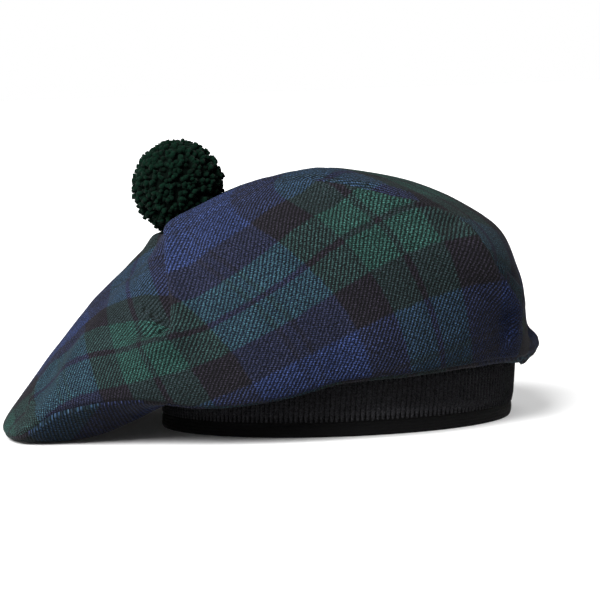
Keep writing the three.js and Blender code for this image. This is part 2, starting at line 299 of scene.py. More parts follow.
def fold_lift(fold, rings, normals):
    """How far one fold lifts each point of the sheet."""
    _, height, valley, width, places = fold
    path = np.array([meridian_points(np.array([float(a)]), level)[0] for a, level in places])
    nearest = np.full(rings.shape[:2], np.inf)
    side = np.zeros(rings.shape[:2])
    share = np.zeros(rings.shape[:2])
    for k in range(len(path) - 1):
        forward = path[k + 1] - path[k]
        at = np.clip(((rings - path[k]) @ forward) / (forward @ forward), 0, 1)
        off = rings - (path[k] + at[..., None] * forward)
        distance = np.linalg.norm(off, axis=2)
        closer = distance < nearest
        left = np.cross(normals, forward)
        nearest = np.where(closer, distance, nearest)
        side = np.where(closer, np.sign((left * off).sum(axis=2)), side)
        share = np.where(closer, (k + at) / (len(path) - 1), share)
    across = side * nearest / width

    fade = ease(share / FOLD_FADE) * ease((1 - share) / FOLD_FADE)
    # a gentle rise to the crest, a steep drop beyond it and a slow rise out of the hollow there
    beyond = np.maximum(across, FOLD_DROP) - FOLD_DROP
    hollow = -valley * np.exp(-((beyond / FOLD_HOLLOW) ** 2))
    dropped = ease(across / FOLD_DROP)
    crest = height * np.exp(-(np.minimum(across, 0) ** 2))
    return fade * ((1 - dropped) * crest + dropped * hollow)


def soft_lumps(points, height, size, place):
    """Small uneven rise and fall of soft cloth, over about size millimetres."""
    shift = Vector((place, place * 0.37, place * 0.71))
    flat = points.reshape(-1, 3)
    lift = [noise.noise(Vector(p) / size + shift) for p in flat]
    return height * np.array(lift).reshape(points.shape[:2])


@functools.cache
def crown_shape(thinning=1):
    """The crown's whole skin with its folds and its rim seam, outward normals and ring levels."""
    angles = ring_angles(DIRECTIONS // thinning)
    levels = np.array(ring_levels("edge", "pole", thinning))
    rings = np.stack([meridian_points(angles, level) for level in levels])
    normals = sheet_normals(rings)
    lift = sum(fold_lift(fold, rings, normals) for fold in FOLDS)
    for height, size, place in LUMPS:
        lift += soft_lumps(rings, height, size, place)
    growing = np.clip((levels - LEVEL_OF["edge"]) / CALM_LEVELS, 0, 1)
    growing *= np.clip(LEVEL_OF["tie"] - levels, 0, 1)
    lift = lift * growing[:, None] + seam_lift(rings, levels)
    rings = rings + normals * lift[..., None]
    return rings, sheet_normals(rings), levels


def seam_lift(rings, levels):
    """The two turned edges that meet at the rim: a soft ridge each side of a narrow groove."""
    rim = int(np.searchsorted(levels, LEVEL_OF["rim"]))
    steps = np.linalg.norm(np.diff(rings, axis=0), axis=2)
    run = np.concatenate([np.zeros((1, rings.shape[1])), np.cumsum(steps, axis=0)])
    away = np.abs(run - run[rim])
    ridge = SEAM_RIDGE * np.exp(-(((away - SEAM_RIDGE_PLACE) / SEAM_RIDGE_SPREAD) ** 2))
    return ridge - SEAM_GROOVE * np.exp(-((away / SEAM_GROOVE_SPREAD) ** 2))


def crown_part(first, last, thinning=1):
    """The rings of the crown from one named level to another, and their normals."""
    rings, normals, levels = crown_shape(thinning)
    start = int(np.searchsorted(levels, LEVEL_OF[first]))
    stop = int(np.searchsorted(levels, LEVEL_OF[last])) + 1
    return rings[start:stop], normals[start:stop]


def to_row(points):
    """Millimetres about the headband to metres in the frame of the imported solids."""
    low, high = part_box("headband")
    # the band leans, so it reaches furthest at the top of its upright wall, 1 mm below its edge
    lean = BAND_LEAN * ((BAND_HEIGHT - 1) / BAND_HEIGHT - 0.5)
    middle = Vector((high[0] - (BAND_HALF_LENGTH + lean) * MM, (low[1] + high[1]) / 2, low[2]))
    return np.asarray(points) * MM + np.array(middle)


def mesh_piece(name, vertices, faces, smooth=True):
    """A new mesh object at the origin, shown in the scene."""
    mesh = bpy.data.meshes.new(name)
    mesh.from_pydata([tuple(v) for v in vertices], [], [tuple(f) for f in faces])
    mesh.validate()
    mesh.polygons.foreach_set("use_smooth", [smooth] * len(mesh.polygons))
    piece = bpy.data.objects.new(name, mesh)
    bpy.context.scene.collection.objects.link(piece)
    return piece


def grid_faces(rings, directions, first=0, flip=False):
    """Quads between rings of points that are numbered ring after ring."""
    i = np.arange(directions)
    j = (i + 1) % directions
    quads = []
    for r in range(rings - 1):
        here, after = first + r * directions, first + (r + 1) * directions
        quad = np.stack([here + i, here + j, after + j, after + i], axis=1)
        quads.append(quad[:, ::-1] if flip else quad)
    return np.concatenate(quads)


def cloth_piece(name, rings, normals, thickness, flat, closed_at_pole):
    """A closed cloth wall from its outer skin, with the flat cloth's coordinates as its UV map."""
    count, directions = rings.shape[:2]
    outer = rings.reshape(-1, 3)
    inner = (rings - normals * thickness).reshape(-1, 3)
    faces = [grid_faces(count, directions), grid_faces(count, directions, len(outer), flip=True)]
    i = np.arange(directions)
    j = (i + 1) % directions
    faces.append(np.stack([len(outer) + i, len(outer) + j, j, i], axis=1))
    if not closed_at_pole:
        end = (count - 1) * directions
        back = len(outer) + end
        faces.append(np.stack([end + i, end + j, back + j, back + i], axis=1))
    faces = np.concatenate(faces)
    piece = mesh_piece(name, to_row(np.concatenate([outer, inner])), faces.tolist())
    mesh = piece.data
    uv = mesh.uv_layers.new(name="cloth")
    corner = np.empty(len(mesh.loops), int)
    mesh.loops.foreach_get("vertex_index", corner)
    flat = np.concatenate([flat.reshape(-1, 2)] * 2) * MM
    uv.data.foreach_set("uv", flat[corner].ravel())
    if closed_at_pole:
        merge_doubles(mesh)
    return piece


def merge_doubles(mesh, distance=1e-6):
    """Joins points that lie in one place, such as the ring that closes at the pole."""
    tools = bmesh.new()
    tools.from_mesh(mesh)
    bmesh.ops.remove_doubles(tools, verts=tools.verts, dist=distance)
    bmesh.ops.dissolve_degenerate(tools, edges=tools.edges, dist=distance)
    tools.to_mesh(mesh)
    tools.free()


def tuck_sides(levels, angles):
    """1 for each cell of cloth close beyond the tuck, -1 for each close before it, 0 elsewhere."""
    line = np.interp(levels, [row[0] for row in TUCK_LINE], [row[1] for row in TUCK_LINE])
    beyond = np.mod(angles[None, :] - line[:, None] + 180, 360) - 180
    sides = np.where(np.abs(beyond) < TUCK_REACH, np.where(beyond > 0, 1, -1), 0)
    return sides * (levels < TUCK_LINE[-1][0])[:, None]


def turned(angle):
    """The matrix that turns flat places, given as rows, by an angle in degrees."""
    cos, sin = math.cos(math.radians(angle)), math.sin(math.radians(angle))
    return np.array([[cos, sin], [-sin, cos]])


def lay_flat(rings, levels, angles):
    """Lays a sheet of rings that closes at the pole out flat with as little stretch as it can.

    Gives each point its place on the flat cloth in millimetres, with the pole at the middle
    and the front of the brim below it. The cloth is slit along the tuck, so there are two
    answers: one that holds up to the tuck, and one that holds beyond it.
    """
    count, directions = rings.shape[:2]
    body = count - 1
    vertices = np.concatenate([rings[:body].reshape(-1, 3), rings[-1, :1]])
    last = (body - 1) * directions
    faces = grid_faces(body, directions).tolist()
    faces += [(last + i, last + (i + 1) % directions, len(vertices) - 1)
              for i in range(directions)]
    pattern = mesh_piece("pattern", vertices * MM, faces)
    mesh = pattern.data
    side = tuck_sides(levels[:body], angles).ravel()
    sides_at = {}
    for face in mesh.polygons:
        for edge in face.edge_keys:
            sides_at.setdefault(edge, set()).add(int(side[face.index]))
    for edge in mesh.edges:
        edge.use_seam = {1, -1} <= sides_at[edge.key]
    for piece in bpy.context.selected_objects:
        piece.select_set(False)
    bpy.context.view_layer.objects.active = pattern
    pattern.select_set(True)
    bpy.ops.object.mode_set(mode="EDIT")
    bpy.ops.mesh.select_all(action="SELECT")
    bpy.ops.uv.unwrap(method="MINIMUM_STRETCH", margin=0, iterations=60)
    bpy.ops.object.mode_set(mode="OBJECT")
    mesh = pattern.data
    corner = np.empty(len(mesh.loops), int)
    mesh.loops.foreach_get("vertex_index", corner)
    places = np.empty(len(mesh.loops) * 2)
    mesh.uv_layers.active.data.foreach_get("uv", places)
    places = places.reshape(-1, 2)
    beyond = np.repeat(side > 0, [face.loop_total for face in mesh.polygons])
    answers = []
    for preferred in (~beyond, beyond):
        flat = np.zeros((len(vertices), 2))
        flat[corner] = places
        flat[corner[preferred]] = places[preferred]
        answers.append(np.concatenate([flat[:last + directions].reshape(body, directions, 2),
                                       np.tile(flat[-1], (1, directions, 1))]))
    bpy.data.objects.remove(pattern)
    bpy.data.meshes.remove(mesh)

    spread = answers[0]
    real = np.linalg.norm(np.diff(rings, axis=0), axis=2).sum()
    scale = real / np.linalg.norm(np.diff(spread, axis=0), axis=2).sum()
    middle = spread[-1, 0].copy()
    front = spread[0, int(np.searchsorted(angles, 270))] - middle
    right = spread[0, 0] - middle
    flip = -1.0 if front[0] * right[1] - front[1] * right[0] < 0 else 1.0
    turn = -90 - math.degrees(math.atan2(front[1], front[0] * flip))
    return [(answer - middle) * [flip * scale, scale] @ turned(turn) for answer in answers]


def pattern_on(flat):
    """Where each place on the flat cloth falls in the tartan, with its slips."""
    pattern = flat @ turned(PATTERN_TURN) + np.array(PATTERN_PLACE)
    for place, slip in SLIPS:
        off = np.linalg.norm(flat - np.array(place), axis=2, keepdims=True)
        pattern = pattern + np.exp(-((off / SLIP_SPREAD) ** 2)) * np.array(slip)
    return pattern


@functools.cache
def flat_crown(times=3):
    """The flat cloth's place for each point of the crown's top.

    It is worked out on a grid that is as many times coarser, and then filled in.
    """
    levels = crown_shape(times)[2]
    levels = levels[levels >= LEVEL_OF["rim"]]
    angles = ring_angles(DIRECTIONS // times)
    before, beyond = lay_flat(crown_part("rim", "pole", times)[0], levels, angles)
    cells = np.repeat(np.repeat(tuck_sides(levels, angles) > 0, times, axis=0), times, axis=1)
    cells = cells[:(len(levels) - 1) * times + 1]
    return np.where(cells[..., None], refine(beyond, times), refine(before, times))


def refine(coarse, times):
    """Fills in values between the points of a coarse grid of rings."""
    around = np.stack([(coarse * (times - k) + np.roll(coarse, -1, axis=1) * k) / times
                       for k in range(times)], axis=2).reshape(len(coarse), -1, 2)
    steps = [(around[:-1] * (times - k) + around[1:] * k) / times for k in range(times)]
    return np.concatenate([np.stack(steps, axis=1).reshape(-1, around.shape[1], 2), around[-1:]])


# ---------------------------------------------------------------- materials


def linear(code):
    """An sRGB hex colour as the linear red, green, blue and alpha that the shaders use."""
    parts = [int(code[i:i + 2], 16) / 255 for i in (1, 3, 5)]
    return [c / 12.92 if c <= 0.04045 else ((c + 0.055) / 1.055) ** 2.4 for c in parts] + [1.0]


def add(tree, kind, inputs=None, **settings):
    """Adds a node with its inputs and its settings.

    An input is a plain value, a socket to link, or a node whose first output is linked.
    """
    node = tree.nodes.new(kind)
    for key, value in settings.items():
        setattr(node, key, value)
    for socket, source in (inputs or {}).items():
        if isinstance(source, bpy.types.Node):
            source = source.outputs[0]
        if isinstance(source, bpy.types.NodeSocket):
            tree.links.new(source, node.inputs[socket])
        else:
            node.inputs[socket].default_value = source
    return node


def tones(tree, parts):
    """The product of tones, each of which follows a value over a span, from one tone to another."""
    product = None
    for value, (low, high), (first, last) in parts:
        tone = add(tree, "ShaderNodeMapRange", {
            "Value": value, "From Min": low, "From Max": high, "To Min": first, "To Max": last})
        product = tone if product is None else add(
            tree, "ShaderNodeMath", {0: product, 1: tone}, operation="MULTIPLY")
    return product


def new_material(name):
    """A material with an empty node tree, and that tree."""
    material = bpy.data.materials.new(name)
    material.use_nodes = True
    tree = material.node_tree
    tree.nodes.clear()
    return material, tree


# Wool is no metal, and its IOR is the shader's own, near 1.5. Its scales and fuzz scatter
# nearly all light, so it is very rough.
WOOL_ROUGHNESS = 0.9
FUZZ_RISE = 0.4  # in mm, how far the loose fibres stand up


def woolly_surface(tree, colour, tone, height, raised, shine, sheen):
    """Ends a material in matt wool of a colour, darker and lighter with the tone, whose fibres
    stand up with the height."""
    dyed = add(tree, "ShaderNodeVectorMath", {0: colour, "Scale": tone}, operation="SCALE")
    bump = add(tree, "ShaderNodeBump", {
        "Strength": raised, "Distance": FUZZ_RISE * MM, "Height": height})
    surface = add(tree, "ShaderNodeBsdfPrincipled", {
        "Base Color": dyed, "Normal": bump, "Roughness": WOOL_ROUGHNESS, "Sheen Weight": sheen,
        "Sheen Roughness": 0.5, "Specular IOR Level": shine})
    add(tree, "ShaderNodeOutputMaterial", {"Surface": surface})


# The tartan's threads, in both directions alike: colour and width in mm, over one repeat
# that starts in the middle of a black stripe.
SETT = [
    ("black", 10.5),
    ("blue", 22.0),
    ("navy", 2.4),
    ("blue", 4.7),
    ("navy", 2.4),
    ("blue", 22.0),
    ("black", 21.0),
    ("green", 18.3),
    ("black", 3.4),
    ("green", 18.3),
    ("black", 10.5),
]
REPEAT = sum(width for _, width in SETT)
SOFT_EDGE = 0.3  # in mm, each side of the line where two stripes meet

# The twill's lines lie at this angle from the first yarns, and each is a row of short floats
# this far apart in mm. From one line to the next, the floats start this share of a turn later.
TWILL_SLANT = math.radians(45)
FLOAT_PITCH = 1.15
FLOAT_SHIFT = 0.37

# Uneven patterns, in lumps to the millimetre. Real fibres are some 0.03 mm thick and too fine
# to show, so those of the cloth, the knit and the yarn are drawn about as coarse as the yarns.
STRAY_YARNS = 0.26
STRAY_FLOATS = 0.9
CLOTH_FIBRES = 1.15
UNEVEN_DYE = 0.045
KNIT_FUZZ = 1.4
YARN_FIBRES = 0.7

STRAY_YARN_REACH = 2.2  # in mm, how far yarns wander to both sides together
STRAY_FLOAT_REACH = 1.1  # in mm, how far the floats do
SWING = (-1.0, 1.0)  # the span of a sine


def yarn_stripes(tree, place, colours):
    """The square root of the yarn's colour at a place across the stripes, given in metres."""
    turn = add(tree, "ShaderNodeMath", {0: place, 1: REPEAT * MM}, operation="DIVIDE")
    within = add(tree, "ShaderNodeMath", {0: turn}, operation="FRACT")
    ramp = add(tree, "ShaderNodeValToRGB", {"Fac": within})
    at = 0.0
    stops = []
    for colour, width in SETT:
        stops += [(at + SOFT_EDGE, colour), (at + width - SOFT_EDGE, colour)]
        at += width
    elements = ramp.color_ramp.elements
    for i, (at, colour) in enumerate(stops):
        stop = elements[i] if i < 2 else elements.new(at / REPEAT)
        stop.position = at / REPEAT
        stop.color = [*(math.sqrt(part) for part in colours[colour][:3]), 1.0]
    return ramp.outputs["Color"]


def brushed_tartan_wool(name, colours, twill_pitch):
    """Woven and brushed wool twill: slanting lines where the two yarns change places, lit along
    their raised floats as painted highlight and darkened between them as painted shade, blended
    colours where stripes cross, and bright specks of loose fibre with dark between them, partly the
    fibres' own uneven tone and partly painted highlight and shade."""
    material, tree = new_material(name)
    cloth = add(tree, "ShaderNodeUVMap", uv_map="cloth")
    wander = add(tree, "ShaderNodeTexNoise", {
        "Vector": cloth, "Scale": STRAY_YARNS / MM, "Detail": 2.0})
    aside = add(tree, "ShaderNodeVectorMath", {
        0: wander.outputs["Color"], 1: (0.5, 0.5, 0.5)}, operation="SUBTRACT")
    uneven = add(tree, "ShaderNodeVectorMath", {
        0: aside, 1: (STRAY_YARN_REACH * MM,) * 3, 2: cloth}, operation="MULTIPLY_ADD")
    place = add(tree, "ShaderNodeSeparateXYZ", {0: uneven})
    down = add(tree, "ShaderNodeMath", {0: place.outputs["Y"], 1: -1.0}, operation="MULTIPLY")
    warp = yarn_stripes(tree, place.outputs["X"], colours)
    weft = yarn_stripes(tree, down, colours)

    # the twill's slanting lines, and the short floats of yarn that each line is made of
    slant = (math.cos(TWILL_SLANT), math.sin(TWILL_SLANT), 0.0)
    beside = (-slant[1], slant[0], 0.0)
    hairy = add(tree, "ShaderNodeTexNoise", {
        "Vector": cloth, "Scale": STRAY_FLOATS / MM, "Detail": 1.0})
    reach = STRAY_FLOAT_REACH * MM
    tousled = add(tree, "ShaderNodeVectorMath", {
        0: hairy.outputs["Color"], 1: (reach, reach, 0.0), 2: cloth}, operation="MULTIPLY_ADD")
    line, float_row = (
        add(tree, "ShaderNodeVectorMath", {
            0: tousled, 1: [part * 2 * math.pi / (pitch * MM) for part in way],
        }, operation="DOT_PRODUCT").outputs["Value"]
        for way, pitch in ((beside, twill_pitch), (slant, FLOAT_PITCH)))
    shifted = add(tree, "ShaderNodeMath", {
        0: line, 1: FLOAT_SHIFT, 2: float_row}, operation="MULTIPLY_ADD")
    wave = add(tree, "ShaderNodeMath", {0: line}, operation="SINE")
    bead = add(tree, "ShaderNodeMath", {0: shifted}, operation="SINE")
    over = add(tree, "ShaderNodeMapRange", {
        "Value": wave, "From Min": -1.0, "To Min": 0.3, "To Max": 0.7})
    yarns = add(tree, "ShaderNodeMix", {0: over, 6: warp, 7: weft}, data_type="RGBA")

    # crossing yarns blend as the square of their mean root, as the darker yarn shades the other
    root = yarns.outputs[2]
    blend = add(tree, "ShaderNodeVectorMath", {0: root, 1: root}, operation="MULTIPLY")

    # painted highlight and shade: the twill's raised lines lit and the hollows between them dark,
    # likewise its floats and the gaps between them, and loose fibres, whose specks are partly their
    # own uneven tone; uneven dyeing is the cloth's own colour
    fibres = add(tree, "ShaderNodeTexNoise", {
        "Vector": cloth, "Scale": CLOTH_FIBRES / MM, "Detail": 2.0, "Roughness": 0.7})
    patches = add(tree, "ShaderNodeTexNoise", {
        "Vector": cloth, "Scale": UNEVEN_DYE / MM, "Detail": 3.0})
    tone = tones(tree, [
        (wave, SWING, (0.15, 1.85)), (bead, SWING, (0.45, 1.55)),
        (fibres, (0.36, 0.68), (0.0, 2.9)), (patches, (0.3, 0.7), (0.85, 1.15))])

    # the nap stands up with the lines, less with the floats, and most with the loose fibres
    beads = add(tree, "ShaderNodeMath", {0: bead, 1: 0.4, 2: wave}, operation="MULTIPLY_ADD")
    nap = add(tree, "ShaderNodeMath", {0: fibres, 1: 1.6, 2: beads}, operation="MULTIPLY_ADD")
    woolly_surface(tree, blend, tone, nap, raised=0.5, shine=0.15, sheen=0.02)
    return material


def ribbed_knit(name, colour, stitch):
    """Dyed wool in rib knit: the eye gets a matt dark yarn with a faint step at each row of
    stitches, and fuzz that breaks it up."""
    material, tree = new_material(name)
    place = add(tree, "ShaderNodeTexCoord").outputs["Object"]
    parts = add(tree, "ShaderNodeSeparateXYZ", {0: place})
    rows = add(tree, "ShaderNodeMath", {
        0: parts.outputs["Z"], 1: 2 * math.pi / (stitch * MM)}, operation="MULTIPLY")
    wave = add(tree, "ShaderNodeMath", {0: rows}, operation="SINE")
    fuzz = add(tree, "ShaderNodeTexNoise", {
        "Vector": place, "Scale": KNIT_FUZZ / MM, "Detail": 3.0, "Roughness": 0.7})
    height = add(tree, "ShaderNodeMath", {0: wave, 1: 0.5, 2: fuzz}, operation="MULTIPLY_ADD")
    tone = add(tree, "ShaderNodeMapRange", {
        "Value": fuzz, "From Min": 0.3, "From Max": 0.7, "To Min": 0.2, "To Max": 2.2})
    woolly_surface(tree, colour[:3], tone, height, raised=0.6, shine=0.2, sheen=0.05)
    return material


def cut_yarn(name, colour):
    """Cut wool yarn: soft matt ends, with painted highlight on their tips and painted shade that
    makes them nearly black deep between them."""
    material, tree = new_material(name)
    place = add(tree, "ShaderNodeTexCoord").outputs["Object"]
    from_middle = add(tree, "ShaderNodeVectorMath", {
        0: place, 1: tuple(to_row(POMPOM_CENTRE))}, operation="DISTANCE").outputs["Value"]
    fibres = add(tree, "ShaderNodeTexNoise", {
        "Vector": place, "Scale": YARN_FIBRES / MM, "Detail": 3.0, "Roughness": 0.7})

    # painted highlight and shade by how far out on the ball, bright at the tips and nearly black
    # deep between the ends; and loose fibres, in a tone that differs at random
    tone = tones(tree, [
        (from_middle, (19.5 * MM, 24.2 * MM), (0.1, 1.7)), (fibres, (0.3, 0.7), (0.5, 1.6))])
    woolly_surface(tree, colour[:3], tone, fibres, raised=0.5, shine=0.05, sheen=0.02)
    return material


def pale_backdrop(name):
    """Matt painted board: the eye gets an even pale floor with nothing on it but soft shadow."""
    material, tree = new_material(name)
    surface = add(tree, "ShaderNodeBsdfPrincipled", {
        "Base Color": linear("#f6f6f6"), "Roughness": 0.9, "Specular IOR Level": 0.1,
        "Emission Color": (1, 1, 1, 1), "Emission Strength": 0.01})
    add(tree, "ShaderNodeOutputMaterial", {"Surface": surface})
    return material


# ---------------------------------------------------------------- geometry nodes


def new_tree(name, inputs):
    """A geometry node tree with a geometry in and out and the named inputs of a maker's sizes."""
    tree = bpy.data.node_groups.new(name, "GeometryNodeTree")
    tree.interface.new_socket("Geometry", in_out="INPUT", socket_type="NodeSocketGeometry")
    for label, kind in inputs.items():
        tree.interface.new_socket(label, in_out="INPUT", socket_type=kind)
    tree.interface.new_socket("Geometry", in_out="OUTPUT", socket_type="NodeSocketGeometry")
    return tree, add(tree, "NodeGroupInput").outputs


def close_tree(tree, given, made):
    """Joins what a tree has made to what it was given, as plain mesh with its one material."""
    both = add(tree, "GeometryNodeJoinGeometry", {0: given["Geometry"]})
    tree.links.new(made.outputs[0], both.inputs[0])
    real = add(tree, "GeometryNodeRealizeInstances", {"Geometry": both})
    smooth = add(tree, "GeometryNodeSetShadeSmooth", {"Geometry": real})
    finished = add(tree, "GeometryNodeSetMaterial", {
        "Geometry": smooth, "Material": given["Material"]})
    add(tree, "NodeGroupOutput", {"Geometry": finished})
    return tree


def run_tree(piece, tree, values):
    """Runs a tree over a piece with the given inputs and keeps the result as a plain mesh."""
    modifier = piece.modifiers.new(tree.name, "NODES")
    modifier.node_group = tree
    for item in tree.interface.items_tree:
        if item.name in values:
            modifier[item.identifier] = values[item.name]
    seen = piece.evaluated_get(bpy.context.evaluated_depsgraph_get())
    result = bpy.data.meshes.new_from_object(seen)
    piece.modifiers.remove(modifier)
    old = piece.data
    piece.data = result
    bpy.data.meshes.remove(old)


RIB_END_SHARPNESS = 12.0  # the higher, the nearer to its end a rib starts to narrow
RIB_END_NARROWING = 0.55  # the share by which it is narrower at the very end


def rib_tree():
    """Ribs of knit standing side by side all round an oval band that leans to one side."""
    number, whole = "NodeSocketFloat", "NodeSocketInt"
    tree, given = new_tree("Knitted ribs", {
        "Middle": "NodeSocketVector", "Half length": number, "Half width": number,
        "Bottom": number, "Top": number, "Lean": number, "Ribs": whole, "Rib width": number,
        "Rib depth": number, "Material": "NodeSocketMaterial",
    })
    round_line = add(tree, "GeometryNodeCurvePrimitiveCircle", {"Resolution": 720, "Radius": 1.0})
    reach = add(tree, "ShaderNodeCombineXYZ", {
        "X": given["Half length"], "Y": given["Half width"], "Z": 1.0})
    oval = add(tree, "GeometryNodeTransform", {"Geometry": round_line, "Scale": reach})
    spots = add(tree, "GeometryNodeCurveToPoints", {
        "Curve": oval, "Count": given["Ribs"]}, mode="COUNT")

    # one rib of unit size, which narrows by a steep power of the way from its middle to its ends
    rib = add(tree, "GeometryNodeMeshCylinder", {
        "Vertices": 8, "Side Segments": 6, "Radius": 1.0, "Depth": 1.0})
    place = add(tree, "GeometryNodeInputPosition")
    parts = add(tree, "ShaderNodeSeparateXYZ", {0: place})
    doubled = add(tree, "ShaderNodeMath", {0: parts.outputs["Z"], 1: 2.0}, operation="MULTIPLY")
    away = add(tree, "ShaderNodeMath", {0: doubled}, operation="ABSOLUTE")
    end = add(tree, "ShaderNodeMath", {0: away, 1: RIB_END_SHARPNESS}, operation="POWER")
    narrow = add(tree, "ShaderNodeMath", {
        0: end, 1: -RIB_END_NARROWING, 2: 1.0}, operation="MULTIPLY_ADD")
    taper = add(tree, "ShaderNodeCombineXYZ", {"X": narrow, "Y": narrow, "Z": 1.0})
    tapered = add(tree, "ShaderNodeVectorMath", {0: place, 1: taper}, operation="MULTIPLY")
    rounded = add(tree, "GeometryNodeSetPosition", {"Geometry": rib, "Position": tapered})

    length = add(tree, "ShaderNodeMath", {
        0: given["Top"], 1: given["Bottom"]}, operation="SUBTRACT")
    size = add(tree, "ShaderNodeCombineXYZ", {
        "X": given["Rib width"], "Y": given["Rib depth"], "Z": length})
    facing = add(tree, "FunctionNodeAlignRotationToVector", {
        "Vector": spots.outputs["Tangent"]}, axis="X")
    ribs = add(tree, "GeometryNodeInstanceOnPoints", {
        "Points": spots, "Instance": rounded, "Rotation": facing, "Scale": size})
    real = add(tree, "GeometryNodeRealizeInstances", {"Geometry": ribs})

    # set the ribs on the band: to their height, in its middle, sheared by its lean
    now = add(tree, "ShaderNodeSeparateXYZ", {0: add(tree, "GeometryNodeInputPosition")})
    ends = add(tree, "ShaderNodeMath", {0: given["Top"], 1: given["Bottom"]}, operation="ADD")
    up = add(tree, "ShaderNodeMath", {
        0: ends, 1: 0.5, 2: now.outputs["Z"]}, operation="MULTIPLY_ADD")
    share = add(tree, "ShaderNodeMath", {0: up, 1: BAND_HEIGHT * MM}, operation="DIVIDE")
    from_half = add(tree, "ShaderNodeMath", {0: share, 1: 0.5}, operation="SUBTRACT")
    across = add(tree, "ShaderNodeMath", {
        0: given["Lean"], 1: from_half, 2: now.outputs["X"]}, operation="MULTIPLY_ADD")
    sheared = add(tree, "ShaderNodeCombineXYZ", {"X": across, "Y": now.outputs["Y"], "Z": up})
    placed = add(tree, "ShaderNodeVectorMath", {0: sheared, 1: given["Middle"]}, operation="ADD")
    standing = add(tree, "GeometryNodeSetPosition", {"Geometry": real, "Position": placed})
    return close_tree(tree, given, standing)


# How uneven the yarn ends are: how far each strays from its even place and leans from its way
# out, as shares of that way, and its least and greatest thickness, as shares of the yarn's.
END_STRAY = 0.13
END_LEAN = 0.3
END_THICKNESS = (0.8, 1.25)
FRAY_LUMPS = 0.9  # to the millimetre, coarser than real fibres, so that the fray shows
FRAY_AT_FOOT = 0.25  # how far an end frays at its foot, as a share of how far it does at its tip


